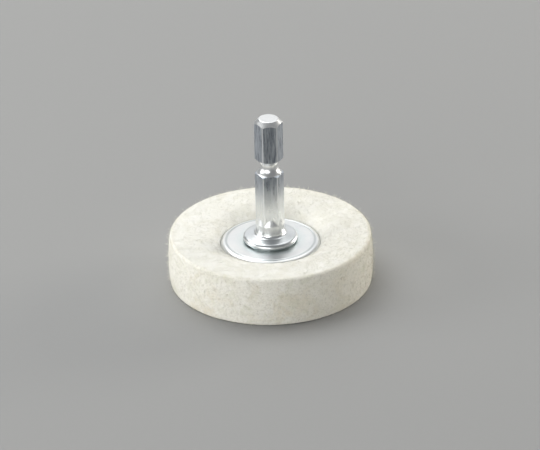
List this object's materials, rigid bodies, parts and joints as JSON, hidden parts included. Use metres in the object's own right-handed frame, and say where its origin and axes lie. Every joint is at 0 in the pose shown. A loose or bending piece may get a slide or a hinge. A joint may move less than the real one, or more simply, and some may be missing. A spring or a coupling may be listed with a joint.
{
  "type": "felt polishing wheel",
  "caption": "Thick white wool-felt polishing disc clamped between pressed washers on a quarter-inch hex quick-change shank, for a drill or bit driver.",
  "frame": {"origin": "centre of the felt's lower face, on the wheel's axis", "axes": "+Z along the wheel's axis towards the tip of the hex shank; two of the hex flats face +Y and -Y"},
  "size_m": [0.05, 0.05, 0.0442],
  "materials": {
    "shank_zinc": "bright zinc plate over drawn and cold-headed steel",
    "washer_zinc": "bright zinc plate over pressed sheet steel",
    "felt": "dense pressed wool felt, off-white, matt and lightly fuzzy"
  },
  "bodies": {
    "root": {"hex_shank": "shank_zinc", "upper_clamp_washer": "washer_zinc", "lower_clamp_washer": "washer_zinc", "spacer_tube": "washer_zinc", "felt_disc": "felt"}
  },
  "joints": []
}
